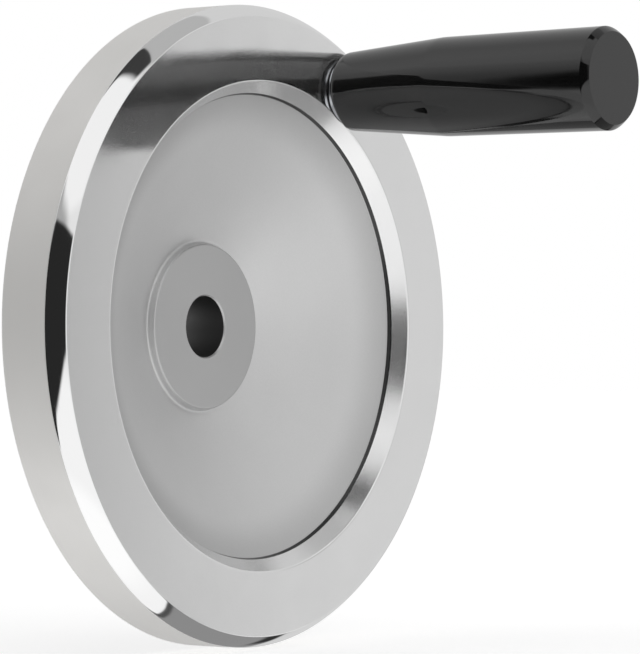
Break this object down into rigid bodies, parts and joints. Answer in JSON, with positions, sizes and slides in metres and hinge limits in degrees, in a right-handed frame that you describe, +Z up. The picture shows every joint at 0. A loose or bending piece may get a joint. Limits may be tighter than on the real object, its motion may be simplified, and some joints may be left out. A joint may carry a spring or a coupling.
{
  "type": "machine handwheel",
  "caption": "Dished disc handwheel with a plain bore, a turned and polished rim and a revolving cylindrical grip on a spindle.",
  "frame": {"origin": "centre of the bore, halfway along the hub", "axes": "+Y along the wheel's axis towards the shaft, -Y is the side with the grip, +Z up, grip axis 60.5 degrees from +X towards +Z"},
  "size_m": [0.125, 0.0958, 0.125],
  "materials": {
    "turned_aluminium": "cast, turned and polished on the rim, blasted on the web",
    "zinc_plated_steel": "turned, zinc plated",
    "spring_steel": "drawn wire, oiled",
    "black_thermoset": "moulded, polished"
  },
  "bodies": {
    "wheel_body": {"wheel": "turned_aluminium", "spindle": "zinc_plated_steel", "snap_ring": "spring_steel"},
    "grip_body": {"grip": "black_thermoset"}
  },
  "joints": [
    {"name": "grip_spin", "type": "hinge", "parent": "wheel_body", "child": "grip_body", "pos_m": [0.02649, -0.0241, 0.04683], "axis": [0, -1, 0], "continuous": true}
  ]
}
